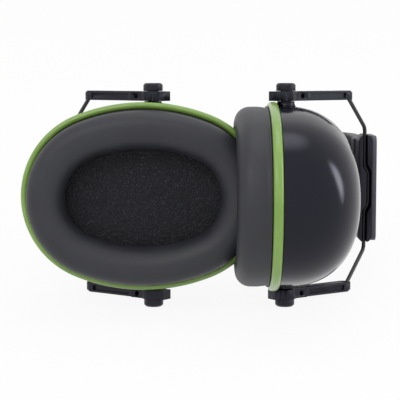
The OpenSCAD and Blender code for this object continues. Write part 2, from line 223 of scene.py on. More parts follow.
def add(tree, kind, inputs=None, **settings):
    """Adds one node: settings are its properties, and inputs fill its sockets,
    each with a plain value or with the socket of another node."""
    n = tree.nodes.new(kind)
    for key, value in settings.items():
        setattr(n, key, value)
    for socket, source in (inputs or {}).items():
        if isinstance(source, bpy.types.NodeSocket):
            tree.links.new(source, n.inputs[socket])
        else:
            n.inputs[socket].default_value = source
    return n


def finish_named(name):
    """A new material: (material, tree, principled shader, object coordinates)."""
    mat = bpy.data.materials.new(name)
    mat.use_nodes = True
    tree = mat.node_tree
    shader = tree.nodes["Principled BSDF"]
    where = add(tree, "ShaderNodeTexCoord").outputs["Object"]
    return mat, tree, shader, where


def per_mm(size):
    """Texture scale for a feature of that many millimetres."""
    return 1 / (size * MM)


def grey(v):
    return (v, v, v, 1.0)


COOL = rgb("#e9e9ff")  # black plastics shine a little bluish


# %% [markdown]
# ### Polished ABS for the domes
#
# The domes are injection-moulded ABS from a polished tool: nearly black, very
# glossy, with the faint long waves that every moulded shell has.  They show as a
# slight wobble in long reflections, so the waves are a bump 22 mm from crest to
# crest.  The refractive index is set below the real 1.5, because a plain white
# surround would otherwise grey the black more than a studio with dark corners does.

# %% Dome finish
dome_gloss, t, s, where = finish_named("polished_black_abs")
waves = add(t, "ShaderNodeTexNoise", {"Vector": where, "Scale": per_mm(22), "Detail": 1.0})
haze = add(t, "ShaderNodeTexNoise", {"Vector": where, "Scale": per_mm(3), "Detail": 6.0})
rough = add(t, "ShaderNodeMapRange", {"Value": haze.outputs["Fac"], "From Min": 0.35,
                                      "From Max": 0.75, "To Min": 0.11, "To Max": 0.18})
bump = add(t, "ShaderNodeBump", {"Height": waves.outputs["Fac"], "Strength": 0.05,
                                 "Distance": 0.3 * MM})
s.inputs["Base Color"].default_value = rgb("#0a0a13")
s.inputs["IOR"].default_value = 1.39
s.inputs["Specular Tint"].default_value = COOL
t.links.new(rough.outputs["Result"], s.inputs["Roughness"])
t.links.new(bump.outputs["Normal"], s.inputs["Normal"])
print("dome finish:", len(t.nodes), "nodes")

# %% [markdown]
# ### The green trim ring
#
# A two-shot or snap-on ring in a softer, satin plastic.  Its colour comes from
# pigment in the melt, so it is even, with flow marks that only just show.

# %% Ring finish
ring_green, t, s, where = finish_named("satin_green_abs")
flow = add(t, "ShaderNodeTexNoise", {"Vector": where, "Scale": per_mm(9), "Detail": 3.0})
share = add(t, "ShaderNodeMapRange", {"Value": flow.outputs["Fac"], "From Min": 0.3,
                                      "From Max": 0.7})
green = add(t, "ShaderNodeMix", {0: share.outputs["Result"], 6: rgb("#749b3c"),
                                 7: rgb("#7fa548")}, data_type="RGBA")
fine = add(t, "ShaderNodeTexNoise", {"Vector": where, "Scale": per_mm(0.8), "Detail": 2.0})
bump = add(t, "ShaderNodeBump", {"Height": fine.outputs["Fac"], "Strength": 0.08,
                                 "Distance": 0.05 * MM})
s.inputs["Roughness"].default_value = 0.34
s.inputs["IOR"].default_value = 1.56
s.inputs["Coat Weight"].default_value = 0.4
s.inputs["Coat Roughness"].default_value = 0.2
t.links.new(green.outputs[2], s.inputs["Base Color"])
t.links.new(bump.outputs["Normal"], s.inputs["Normal"])
print("ring finish:", len(t.nodes), "nodes")

# %% [markdown]
# ### The cushion's skin
#
# Ear cushions are foam in a vacuum-formed PVC film.  The film is matte and soft
# to the touch, with a very fine pebble grain (about half a millimetre) and
# slightly shinier places where it is stretched.

# %% Cushion finish
cushion_skin, t, s, where = finish_named("soft_pvc_film")
tone = add(t, "ShaderNodeTexNoise", {"Vector": where, "Scale": per_mm(14), "Detail": 4.0})
share = add(t, "ShaderNodeMapRange", {"Value": tone.outputs["Fac"], "From Min": 0.3,
                                      "From Max": 0.7})
film = add(t, "ShaderNodeMix", {0: share.outputs["Result"], 6: rgb("#28292e"),
                                7: rgb("#2f3036")}, data_type="RGBA")
rough = add(t, "ShaderNodeMapRange", {"Value": share.outputs["Result"], "To Min": 0.46,
                                      "To Max": 0.56})
pebble = add(t, "ShaderNodeTexVoronoi", {"Vector": where, "Scale": per_mm(0.7)})
bump = add(t, "ShaderNodeBump", {"Height": pebble.outputs["Distance"], "Strength": 0.12,
                                 "Distance": 0.06 * MM})
s.inputs["IOR"].default_value = 1.46
t.links.new(film.outputs[2], s.inputs["Base Color"])
t.links.new(rough.outputs["Result"], s.inputs["Roughness"])
t.links.new(bump.outputs["Normal"], s.inputs["Normal"])
print("cushion finish:", len(t.nodes), "nodes")

# %% [markdown]
# ### Open-cell foam
#
# The liner that soaks up sound inside the cup is cut polyurethane foam.  A cut
# face shows thousands of open cells, each a pit with a thin rim, and a few rims
# catch the light.  The shade in each pit is painted into the colour, darker
# towards the cell's middle, and the lit rims are painted highlights, pale flecks
# from a fine noise.  Real cells are under a millimetre; here they are drawn at
# about 0.9 mm so that they show.

# %% Liner foam finish
foam_black, t, s, where = finish_named("open_cell_foam")
cells = add(t, "ShaderNodeTexVoronoi", {"Vector": where, "Scale": per_mm(0.9)})
# painted shade: each cell's colour is darker towards its middle, where the pit lies
pit_shade = add(t, "ShaderNodeMapRange", {"Value": cells.outputs["Distance"], "From Min": 0.15,
                                    "From Max": 0.6})
base = add(t, "ShaderNodeMix", {0: pit_shade.outputs["Result"], 6: rgb("#06070b"),
                                7: rgb("#16171e")}, data_type="RGBA")
# painted highlights: pale flecks where cell rims catch the light
glint_noise = add(t, "ShaderNodeTexNoise", {"Vector": where, "Scale": per_mm(0.45), "Detail": 2.0})
light = add(t, "ShaderNodeMapRange", {"Value": glint_noise.outputs["Fac"], "From Min": 0.58,
                                      "From Max": 0.72})
cut = add(t, "ShaderNodeMix", {0: light.outputs["Result"], 6: base.outputs[2],
                               7: rgb("#4a4b53")}, data_type="RGBA")
bump = add(t, "ShaderNodeBump", {"Height": cells.outputs["Distance"], "Strength": 0.9,
                                 "Distance": 0.5 * MM})
s.inputs["Roughness"].default_value = 0.85
t.links.new(cut.outputs[2], s.inputs["Base Color"])
t.links.new(bump.outputs["Normal"], s.inputs["Normal"])
print("foam finish:", len(t.nodes), "nodes")

# %% [markdown]
# ### Moulded nylon
#
# The yoke arms, caps, sliders and headband are glass-filled nylon: black, satin,
# with a spark-eroded texture that is coarser on the band than on the arms.  The
# grip cover on the slider is the same plastic in grey.


# %% Nylon finishes
def nylon(name, dark, pale, rough, grain, depth):
    """Satin moulded nylon with a spark-eroded grain of that many millimetres."""
    mat, t, s, where = finish_named(name)
    cloud = add(t, "ShaderNodeTexNoise", {"Vector": where, "Scale": per_mm(7), "Detail": 5.0})
    share = add(t, "ShaderNodeMapRange", {"Value": cloud.outputs["Fac"], "From Min": 0.3,
                                          "From Max": 0.7})
    colour = add(t, "ShaderNodeMix", {0: share.outputs["Result"], 6: rgb(dark),
                                      7: rgb(pale)}, data_type="RGBA")
    satin = add(t, "ShaderNodeMapRange", {"Value": share.outputs["Result"],
                                          "To Min": rough - 0.04, "To Max": rough + 0.06})
    spark = add(t, "ShaderNodeTexNoise", {"Vector": where, "Scale": per_mm(grain),
                                          "Detail": 3.0})
    bump = add(t, "ShaderNodeBump", {"Height": spark.outputs["Fac"], "Strength": 0.25,
                                     "Distance": depth * MM})
    s.inputs["IOR"].default_value = 1.42
    s.inputs["Specular Tint"].default_value = COOL
    t.links.new(colour.outputs[2], s.inputs["Base Color"])
    t.links.new(satin.outputs["Result"], s.inputs["Roughness"])
    t.links.new(bump.outputs["Normal"], s.inputs["Normal"])
    return mat


arm_nylon = nylon("satin_black_nylon", "#0b0b12", "#12121a", 0.40, 0.5, 0.08)
slider_nylon = nylon("slider_nylon", "#07070d", "#0d0d14", 0.44, 0.6, 0.10)
band_nylon = nylon("band_nylon", "#16161b", "#1e1e24", 0.44, 0.9, 0.14)
cap_nylon = nylon("cap_nylon", "#0e0e13", "#16161c", 0.34, 0.6, 0.06)
plate_nylon = nylon("plate_nylon", "#1a1a1e", "#202024", 0.45, 0.8, 0.08)
grip_nylon = nylon("grip_nylon", "#4a4a50", "#56565c", 0.42, 0.6, 0.08)
print("nylon finishes made")

# %% [markdown]
# ### Steel: the coated wire and the rivets
#
# The wire is spring steel in a thin black coat.  The stop rivets are turned from
# bare steel, so they keep the fine marks of the tool.

# %% Steel finishes
wire_coat, t, s, where = finish_named("black_coated_spring_steel")
drawn = add(t, "ShaderNodeTexNoise", {"Vector": where, "Scale": per_mm(1.6), "Detail": 4.0})
rough = add(t, "ShaderNodeMapRange", {"Value": drawn.outputs["Fac"], "From Min": 0.35,
                                      "From Max": 0.7, "To Min": 0.28, "To Max": 0.42})
bump = add(t, "ShaderNodeBump", {"Height": drawn.outputs["Fac"], "Strength": 0.15,
                                 "Distance": 0.03 * MM})
s.inputs["Base Color"].default_value = rgb("#111114")
t.links.new(rough.outputs["Result"], s.inputs["Roughness"])
t.links.new(bump.outputs["Normal"], s.inputs["Normal"])

rivet_steel, t, s, where = finish_named("turned_steel")
turned = add(t, "ShaderNodeTexNoise", {"Vector": where, "Scale": per_mm(0.5), "Detail": 3.0})
rough = add(t, "ShaderNodeMapRange", {"Value": turned.outputs["Fac"], "From Min": 0.3,
                                      "From Max": 0.7, "To Min": 0.28, "To Max": 0.42})
s.inputs["Base Color"].default_value = rgb("#b9b9bc")
s.inputs["Metallic"].default_value = 1.0
t.links.new(rough.outputs["Result"], s.inputs["Roughness"])
print("steel finishes made")

# %% [markdown]
# ### The bead and the band's pad
#
# The bead round the foam is glossy PVC.  The pad under the arch is foam in
# leatherette, whose grain is a net of fine creases between small flat islands.

# %% Bead and pad finishes
bead_gloss, t, s, where = finish_named("glossy_pvc_bead")
tone = add(t, "ShaderNodeTexNoise", {"Vector": where, "Scale": per_mm(5), "Detail": 3.0})
rough = add(t, "ShaderNodeMapRange", {"Value": tone.outputs["Fac"], "From Min": 0.3,
                                      "From Max": 0.7, "To Min": 0.22, "To Max": 0.30})
s.inputs["Base Color"].default_value = rgb("#1c1c21")
t.links.new(rough.outputs["Result"], s.inputs["Roughness"])

pad_leather, t, s, where = finish_named("black_leatherette")
tone = add(t, "ShaderNodeTexNoise", {"Vector": where, "Scale": per_mm(10), "Detail": 4.0})
share = add(t, "ShaderNodeMapRange", {"Value": tone.outputs["Fac"], "From Min": 0.3,
                                      "From Max": 0.7})
hide = add(t, "ShaderNodeMix", {0: share.outputs["Result"], 6: rgb("#26262a"),
                                7: rgb("#2f2f34")}, data_type="RGBA")
crease = add(t, "ShaderNodeTexVoronoi", {"Vector": where, "Scale": per_mm(1.3)},
             feature="DISTANCE_TO_EDGE")
edges = add(t, "ShaderNodeMapRange", {"Value": crease.outputs["Distance"],
                                      "From Min": 0.02, "From Max": 0.12})
bump = add(t, "ShaderNodeBump", {"Height": edges.outputs["Result"], "Strength": 0.35,
                                 "Distance": 0.12 * MM})
s.inputs["Roughness"].default_value = 0.5
t.links.new(hide.outputs[2], s.inputs["Base Color"])
t.links.new(bump.outputs["Normal"], s.inputs["Normal"])
print("materials so far:", len(bpy.data.materials))

# %% [markdown]
# ## The oval
#
# The cup's outline is not an ellipse: it is fuller, and is made of four arcs that
# meet smoothly, two of 38 mm at the ends and two of about 80 mm along the sides.
# Every ridge and step on the cup runs parallel to that outline, so one rule gives
# them all: walk round the outline, and step inward along its normal.

# %% Points on the oval, spaced evenly round it
HALF_LONG, HALF_SHORT, END_R = 53.5, 41.0, 38.0
end_c = HALF_LONG - END_R  # from the middle out to the centre of an end arc
fuller = HALF_SHORT - END_R
side_d = (end_c ** 2 - fuller ** 2) / (2 * fuller)  # and to the centre of a side arc
SIDE_R = HALF_SHORT + side_d
joint_angle = math.atan2(side_d, end_c)
AROUND = 192


def facing(k):
    """(centre x, centre y, radius, angle) of the k-th place round the outline."""
    end_len = END_R * joint_angle
    side_len = SIDE_R * (math.pi / 2 - joint_angle)
    quarter_len = end_len + side_len
    along = (k % AROUND) / AROUND * 4 * quarter_len
    q, rest = divmod(along, quarter_len)
    if q in (1, 3):
        rest = quarter_len - rest
    if rest <= end_len:
        cx, cy, r, a = end_c, 0.0, END_R, rest / END_R
    else:
        cx, cy, r = 0.0, -side_d, SIDE_R
        a = joint_angle + (rest - end_len) / SIDE_R
    sx = 1 if q in (0, 3) else -1
    sy = 1 if q in (0, 1) else -1
    return sx * cx, sy * cy, r, math.atan2(sy * math.sin(a), sx * math.cos(a))


ROUND = [facing(k) for k in range(AROUND)]


def oval_point(k, inset, height):
    """The k-th place on the outline, stepped inward, at that height."""
    cx, cy, r, a = ROUND[k]
    return Vector((cx + (r - inset) * math.cos(a), cy + (r - inset) * math.sin(a), height))


print("outline:", [round(v, 1) for v in oval_point(0, 0, 0)], "to",
      [round(v, 1) for v in oval_point(AROUND // 4, 0, 0)])

# %% [markdown]
# ## Sweeping a section round the oval
#
# By hand one would add a circle, extrude its edge again and again, and place each
# new ring.  The code does the same: each vertex carries its number round the
# circle, an extrusion copies that number, and so each new ring can be set on its
# own place.  A closed section ends where it began and is welded there; an open one
# can be capped.


# %% Rings and the sweep
def extruded(name, rings, fill="NOTHING", cap=False):
    """A circle set on the first ring, then extruded and set on each next one."""
    bpy.ops.object.select_all(action="DESELECT")
    bpy.ops.mesh.primitive_circle_add(vertices=len(rings[0]), radius=1, fill_type=fill)
    obj = named(name)
    number = obj.data.attributes.new("corner", "INT", "POINT")
    for k in range(len(rings[0])):
        number.data[k].value = k
    bpy.ops.object.mode_set(mode="EDIT")
    for i, ring in enumerate(rings):
        if i:
            bpy.ops.mesh.extrude_region_move()
        bm = bmesh.from_edit_mesh(obj.data)
        layer = bm.verts.layers.int["corner"]
        for v in bm.verts:
            if v.select:
                v.co = ring[v[layer]]
        bmesh.update_edit_mesh(obj.data)
    if cap:
        bpy.ops.mesh.edge_face_add()
    bpy.ops.object.mode_set(mode="OBJECT")
    obj.data.attributes.remove(obj.data.attributes["corner"])
    return outward(obj)


def sweep(name, section, closed=True, cap=False, shift=None):
    """section: [(inset, height), ...].  shift(k, i) may return extra (inset, height)."""
    rings = []
    for i, (inset, height) in enumerate(section):
        extra = [shift(k, i) if shift else (0.0, 0.0) for k in range(AROUND)]
        rings.append([oval_point(k, inset + more_in, height + more_up)
                      for k, (more_in, more_up) in enumerate(extra)])
    return extruded(name, rings + (rings[:1] if closed else []), cap=cap)


def arc(cx, cy, r, a0, a1, n):
    """n + 1 points on an arc, angles in degrees."""
    return [(cx + r * math.cos(math.radians(a0 + (a1 - a0) * i / n)),
             cy + r * math.sin(math.radians(a0 + (a1 - a0) * i / n)))
            for i in range(n + 1)]


# %% [markdown]
# ## The domes
#
# A dome rises almost straight from behind the ring, turns over in a full curve
# and ends nearly flat: a superellipse with exponent 2.5.  Its foot has a small
# rounded shoulder and a lip that plugs into the ring.  The sheet is swept once,
# capped at the top, and given its 2.4 mm wall by a Solidify modifier.

# %% Dome
RING_HALF = 2.05
DOME_H, DOME_N, FOOT = 34.3, 2.5, 1.6


def dome_section(steps=30):
    """The lip inside the ring, the shoulder, and the superellipse up to the top."""
    points = [(3.0, -0.05), (3.0, 1.2), (3.0, RING_HALF + 0.05), (2.2, RING_HALF + 0.05),
              (1.75, RING_HALF + 0.12)]
    for i in range(steps + 1):
        a = math.pi / 2 * i / steps
        inward = math.cos(a) ** (2 / DOME_N)
        rise = math.sin(a) ** (2 / DOME_N)
        if i == 0:
            points.append((FOOT, RING_HALF + 0.3))
        elif DOME_H * rise > 0.5:
            points.append((END_R - (END_R - FOOT) * inward, RING_HALF + DOME_H * rise))
    return points


dome = sweep("left_dome", dome_section(), closed=False, cap=True)
modify(dome, "SOLIDIFY", thickness=2.4, offset=-1.0, use_even_offset=True)
smooth(dome, 40)
for side, dome in pair(dome):
    settle(dome, cup_place[side], f"{side}_cup", dome_gloss, "dome_gloss",
           f"{side}_cup_shell")
print("dome faces:", len(dome.data.polygons))

# %% [markdown]
# ## Trim rings
#
# The ring is a band with soft edges that stands a little proud all round.


# %% Ring
def rounded_box(s0, s1, z0, z1, r, n=4):
    """A closed section: a rectangle with round corners."""
    return (arc(s1 - r, z0 + r, r, -90, 0, n) + arc(s1 - r, z1 - r, r, 0, 90, n)
            + arc(s0 + r, z1 - r, r, 90, 180, n) + arc(s0 + r, z0 + r, r, 180, 270, n))


ring = sweep("left_ring", rounded_box(0.0, 2.95, -RING_HALF, RING_HALF, 1.4))
smooth(ring, 40)
for side, ring in pair(ring):
    settle(ring, cup_place[side], f"{side}_cup", ring_green, "ring_green",
           f"{side}_trim_ring")
print("ring faces:", len(ring.data.polygons))

# %% [markdown]
# ## Ear cushions
#
# A cushion is a fat ring of foam in a tight film.  It leaves the ring through a
# narrow neck, swells out, is crowned in front and rolls over a soft lip into the
# ear opening.  The film is stretched over the outside, but has material to spare
# on the inside of the oval, so fine creases run inward there.  Those are made by
# moving the swept rings a few tenths of a millimetre, more towards the opening.

# %% Cushion section
CUSHION_H = 14.5
CUSHION_OUT = {"left": 3.4, "right": 2.0}
CUSHION_IN = {"left": 19.8, "right": 19.0}
CUSHION_OUT_R, CUSHION_IN_R = 6.6, 8.6
front = -RING_HALF - CUSHION_H


def cushion_section(side):
    """The cushion's section, from the neck out, round the front and back inside."""
    o, i, ro, ri = CUSHION_OUT[side], CUSHION_IN[side], CUSHION_OUT_R, CUSHION_IN_R
    neck_out = [(5.0, -RING_HALF - 0.1), (o + 0.3, -RING_HALF - 0.12),
                (o - 0.25, -RING_HALF - 0.35), (o - 0.2, -RING_HALF - 0.85),
                (o + 0.45, -RING_HALF - 1.1), (o + 0.25, -RING_HALF - 2.4),
                (o, -RING_HALF - 4.6), (o, -RING_HALF - 6.4)]
    outer = arc(o + ro, front + ro, ro, 180, 270, 12)
    inner = arc(i - ri, front + ri, ri, 270, 360, 14)
    back_in = [(i, -6.6), (i, -5.2), (i, -4.0), (i - 0.3, -2.9), (i - 1.2, -RING_HALF - 0.1)]
    flat = [(i - 5, -RING_HALF - 0.1), (10.0, -RING_HALF - 0.1)]
    middle = [((o + ro + i - ri) / 2, front)]
    return neck_out + outer + middle + inner + back_in + flat


# %% [markdown]
# The left cup is folded against the right one, and its end presses into the right
# cushion.  The film gives way: its lip lies back against the other cup.  The right
# section therefore goes no further in than the other cup's round end lets it.

# %% How far in the right lip may stand
NEST_GAP = 0.45
LIP_FROM = 9.0  # only what is further in than this can touch the other cup
nest_axis = 2 * pivot_half + PIVOT_UP - end_c - PIVOT_OUT + front


def pressed(point):
    """A section's point, kept clear of the other cup's round end."""
    inset, height = point
    depth = nest_axis + height - front
    room = HALF_SHORT - math.sqrt(max(0.0, (END_R + NEST_GAP) ** 2 - depth ** 2))
    return (min(inset, room) if inset > LIP_FROM else inset, height)


sections = {"left": cushion_section("left"),
            "right": [pressed(p) for p in cushion_section("right")]}
print("the opening's wall stands in:", [round(max(sections[s])[0], 1) for s in SIDES])

# %% [markdown]
# The creases are a shift of the swept rings, in three wavelengths that never quite
# repeat, so that no two stretches of the opening look alike.


# %% Cushions
CREASE_FROM, CREASE_OVER = 11.0, 7.0  # creases fade in over this stretch of inset


def creases(section):
    """Fine inward creases near the opening, and a slight unevenness all over."""
    def shift(k, row):
        s_here, z_here = section[row]
        a = 2 * math.pi * k / AROUND
        near = max(0.0, min(1.0, (s_here - CREASE_FROM) / CREASE_OVER))
        if z_here > -RING_HALF - 1.5:
            near = 0.0
        wave = (math.sin(23 * a + 0.7 * z_here) + 0.6 * math.sin(41 * a + 1.3)
                + 0.8 * math.sin(9 * a + 2.0))
        drift = 0.12 * math.sin(3 * a + 0.5) + 0.10 * math.sin(5 * a + 1.9)
        soft = min(1.0, max(0.0, -z_here - 4) / 6)
        return -0.03 * near * (1.5 + wave), 0.4 * abs(drift) * soft
    return shift


for side in SIDES:
    cushion = sweep(f"{side}_cushion", sections[side], shift=creases(sections[side]))
    smooth(cushion, 80)
    settle(cushion, cup_place[side], f"{side}_cup", cushion_skin, "cushion_skin",
           f"{side}_cushion_cover", f"{side}_cushion_foam")
print("cushion faces:", len(cushion.data.polygons))

# %% [markdown]
# ## Liner foam
#
# A flat slab of cut foam fills the cup behind the cushion.  It bulges a little in
# the middle and is never quite flat.  It is swept like everything else, in rings
# a millimetre apart, so that there is enough mesh to be rough.


# %% Liner
def liner_section():
    """The slab's edge, then 30 rows over its face, which bulges towards the ear."""
    front_rows = [(5.2 + 1.1 * i, 0.3 - 1.2 * (1 - (1 - i / 29) ** 2) * min(1.0, i / 10))
                  for i in range(30)]
    return [(5.2, 9.0), (5.1, 4.5)] + front_rows


liner_rows = liner_section()


def uneven(k, row):
    """Moves a point of the face up or down by under a quarter of a millimetre."""
    s_here, _ = liner_rows[row]
    if row < 2:
        return 0.0, 0.0
    a = 2 * math.pi * k / AROUND
    h = (math.sin(17 * a + 3.1 * s_here) * math.sin(29 * a - 1.7 * s_here)
         + 0.7 * math.sin(53 * a + 5.3 * s_here) + 0.5 * math.sin(7 * a + 0.6 * s_here))
    return 0.0, 0.09 * h


liner = sweep("left_liner", liner_rows, closed=False, cap=True, shift=uneven)
modify(liner, "SOLIDIFY", thickness=1.5, offset=-1.0)
smooth(liner, 80)
for side, liner in pair(liner):
    settle(liner, cup_place[side], f"{side}_cup", foam_black, "liner_foam",
           f"{side}_liner_foam")
print("liner faces:", len(liner.data.polygons))

# %% [markdown]
# A thin glossy bead runs round the foam, where the seal plate's rim holds it down.

# %% Bead round the foam
BEAD_IN, BEAD_Z, BEAD_R = 17.9, -2.5, 0.55
bead = sweep("left_bead", arc(BEAD_IN, BEAD_Z, BEAD_R, 0, 330, 11))
smooth(bead, 80)
for side, bead in pair(bead):
    settle(bead, cup_place[side], f"{side}_cup", bead_gloss, "plate_plastic")
print("bead faces:", len(bead.data.polygons))

# %% [markdown]
# ## Crisp moulded pieces
#
# The arms, sliders, caps and clips are hard mouldings whose shape the CAD model
# gives exactly, except that its edges are knife sharp.  A real moulding has a
# small radius on every edge, and that radius is what catches the light.  Each of
# these pieces is a copy of its CAD node: welded, its flat faces joined again, and
# every edge sharper than 28 degrees rounded by a Bevel modifier.


# %% Rounding a copy of a CAD node
def crisp(node, body, material, radius, limit=28):
    """A copy of a CAD node with rounded edges.  The radius is in mm."""
    bpy.ops.object.select_all(action="DESELECT")
    source = frame["nodes"][node]
    source.select_set(True)
    bpy.context.view_layer.objects.active = source
    bpy.ops.object.duplicate(linked=False)
    obj = named(f"{node}_piece")
    place = obj.matrix_world.copy()
    obj.parent = None
    obj.matrix_world = place
    bpy.ops.object.mode_set(mode="EDIT")
    bpy.ops.mesh.select_all(action="SELECT")
    bpy.ops.mesh.remove_doubles(threshold=0.02 * MM)
    bpy.ops.mesh.dissolve_limited(angle_limit=math.radians(1.0))
    bpy.ops.object.mode_set(mode="OBJECT")
    modify(obj, "BEVEL", width=radius * MM, segments=2, limit_method="ANGLE",
           angle_limit=math.radians(limit), use_clamp_overlap=True, harden_normals=False)
    bpy.ops.object.mode_set(mode="EDIT")
    bpy.ops.mesh.select_all(action="SELECT")
    bpy.ops.mesh.remove_doubles(threshold=0.005 * MM)
    bpy.ops.mesh.dissolve_degenerate(threshold=0.002 * MM)
    bpy.ops.object.mode_set(mode="OBJECT")
    smooth(obj, 38)
    obj.data.materials.clear()
    obj.data.materials.append(material)
    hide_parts(node)
    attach(obj, body)
    return obj


# %% [markdown]
# The yoke's and the band's pieces get a radius of a few tenths of a millimetre.
# The caps are smaller, so theirs is smaller too, and the grip cover keeps the sharp
# ends of its finger grooves.

# %% Arms, sliders, clips, rivets and caps
for side in SIDES:
    for level in ("upper", "lower"):
        crisp(f"{side}_{level}_arm", f"{side}_yoke", arm_nylon, 0.45)
        crisp(f"{side}_{level}_cap", f"{side}_cup", cap_nylon, 0.25)
    crisp(f"{side}_slider_housing", f"{side}_yoke", slider_nylon, 0.45)
    crisp(f"{side}_slider_cover", f"{side}_yoke", grip_nylon, 0.25,
          limit=50)
    crisp(f"{side}_guide_clip", f"{side}_band", band_nylon, 0.3)
    crisp(f"{side}_stop_rivet", f"{side}_band", rivet_steel, 0.3)
    crisp(f"{side}_seal_plate", f"{side}_cup", plate_nylon, 0.3)

# %% [markdown]
# ## Lofting along a path
#
# The headband, its pad and the yoke wire are all one section carried along a path.
# As with the oval, a circle is extruded ring by ring.  This time it starts as a
# face, so the first and last faces stay, and close the ends.


# %% The loft
def loft(name, rings):
    """rings: a list of sections, each a list of the same number of points."""
    return extruded(name, rings, fill="NGON")


# %% [markdown]
# ## The headband
#
# The band is a channel in nylon: a thin web with a thicker rim along each edge, so
# that it bends easily and doesn't twist.  It follows a half circle and then runs
# straight down to the slider.  It flexes at the crown; here each half is one
# piece from the crown to its own side, and it does not bend.

# %% Headband halves
ARCH_R, ARCH_Y, LEG_Y = 70.5, 80.0, 48.3
BAND_T, BAND_W, WEB_T, RIM_W = 5.1, 46.0, 1.8, 4.8


def band_section():
    """The channel: a rounded rim along each edge, and the thin web between them."""
    r0, r1, w, web = ARCH_R - BAND_T, ARCH_R, BAND_W / 2, ARCH_R - WEB_T
    inner = w - RIM_W
    half = (arc(r1 - 1.0, w - 1.0, 1.0, 0, 90, 4) + arc(r0 + 0.7, w - 0.7, 0.7, 90, 180, 3)
            + arc(r0 + 0.5, inner + 0.5, 0.5, 180, 270, 3)
            + [(web - 0.6, inner), (web, inner - 0.6)])
    return half + [(r, -z) for r, z in reversed(half)]


def arch_ring(section, angle):
    """A section set on the half circle, at an angle from the leg, in degrees."""
    a = math.radians(angle)
    return [Vector((r * math.cos(a), ARCH_Y + r * math.sin(a), z)) for r, z in section]


def leg_ring(section, y):
    """A section set on the straight leg."""
    return [Vector((r, y, z)) for r, z in section]


profile = band_section()
rings = [arch_ring(profile, 90 - 1.0 * i) for i in range(91)]
rings += [leg_ring(profile, ARCH_Y - (ARCH_Y - LEG_Y) * i / 8) for i in range(1, 9)]
band = smooth(loft("left_band_half", rings), 40)
for side, band in pair(band):
    nodes = [f"{side}_headband"] + (["headband_crown"] if side == "right" else [])
    settle(band, side_place[side], None, band_nylon, "band_plastic", *nodes)
    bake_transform(band)
print("band faces:", len(band.data.polygons))

# %% [markdown]
# ## The pad under the arch
#
# A strip of soft foam in leatherette.  It is fullest in the middle of its width,
# its edges are rolled and stitched down to the band, and cross seams pull it in
# every 14 degrees, so that it follows the arch without creasing.

# %% Pad
PAD_IN, PAD_END = 9.2, 34.0  # depth in mm, and the angle where it ends
PAD_HALF, PAD_STEP, SEAM_EVERY = 19.4, 0.7, 14


def pad_section(angle):
    """Points of the pad's section at an angle from the leg, in degrees."""
    r1 = ARCH_R - BAND_T - 0.05
    seam = abs(((90 - angle) / SEAM_EVERY + 0.5) % 1 - 0.5) * SEAM_EVERY
    full = 1 - 0.35 * math.exp(-(seam / 0.9) ** 2)
    end = min(1.0, max(0.0, (angle - PAD_END) / 5)) ** 0.5
    deep = PAD_IN * full * (0.35 + 0.65 * end)
    points = []
    for i in range(25):
        a = math.pi * i / 24
        z = PAD_HALF * math.cos(a)
        lift = abs(math.sin(a)) ** 0.45
        points.append((r1 - 0.5 - (deep - 0.5) * lift * (0.93 + 0.07 * math.sin(a)), z))
    return [(r1, PAD_HALF - 1.2)] + points + [(r1, -PAD_HALF + 1.2)]


steps = [90 - PAD_STEP * i for i in range(round((90 - PAD_END) / PAD_STEP) + 1)]
pad = smooth(loft("left_pad", [arch_ring(pad_section(a), a) for a in steps]), 60)
for side, pad in pair(pad):
    nodes = [f"{side}_band_pad"] + (["crown_pad"] if side == "right" else [])
    settle(pad, side_place[side], None, pad_leather, "pad_cover", *nodes)
    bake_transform(pad)
print("pad faces:", len(pad.data.polygons))

# %% [markdown]
# ## The yoke wire
#
# One spring-steel wire runs from the end of the upper arm, down through the
# slider's groove, where two small cranks keep it from turning, and up into the
# lower arm.  Wire is bent round a mandrel, so each corner is an arc of a couple of
# millimetres.

# %% Yoke wire
ARM_END = Vector((57.0, 20.0, 0.0))
ARM_MID = (41.45 + 45.6) / 2
WIRE_X, WIRE_Y, WIRE_Z, WIRE_R = 67.9, 36.0, 28.2, 0.9
CRANK, CRANK_Z, CRANK_HALF = 1.8, 8.9, 1.5  # sideways step, its height, half its length
arm_way = (ARM_END - Vector((pivot_half, 0, 0))).normalized()


def in_arm(beyond):
    """A point on the arm's middle line, so far beyond the arm's end."""
    return ARM_END + arm_way * beyond + Vector((0, 0, ARM_MID))


def wire_corners():
    """The wire's corners before they are rounded, from the upper arm to the lower."""
    half = [in_arm(-10), in_arm(0.9), Vector((WIRE_X, WIRE_Y, WIRE_Z)),
            Vector((WIRE_X, WIRE_Y, CRANK_Z + CRANK_HALF)),
            Vector((WIRE_X + CRANK, WIRE_Y, CRANK_Z - CRANK_HALF))]
    return half + [Vector((p.x, p.y, -p.z)) for p in reversed(half)]


def rounded(points, cut_back, n=6):
    """A path with each corner replaced by a curve that starts that far before it."""
    out = [points[0]]
    for a, b, c in zip(points, points[1:], points[2:]):
        cut = min(cut_back, (a - b).length * 0.45, (c - b).length * 0.45)
        p, q = b + (a - b).normalized() * cut, b + (c - b).normalized() * cut
        out += [p * (1 - u) ** 2 + b * (2 * u * (1 - u)) + q * u ** 2
                for u in (i / n for i in range(n + 1))]
    return out + [points[-1]]


def round_rings(path, radius, sides=14):
    """Circles square to a path, all turned alike, so that the tube doesn't twist."""
    steady = Vector((-arm_way.y, arm_way.x, 0))
    rings = []
    for i, p in enumerate(path):
        way = (path[min(i + 1, len(path) - 1)] - path[max(i - 1, 0)]).normalized()
        u = (steady - way * steady.dot(way)).normalized()
        v = way.cross(u)
        rings.append([p + (u * math.cos(w) + v * math.sin(w)) * radius
                      for w in (2 * math.pi * k / sides for k in range(sides))])
    return rings


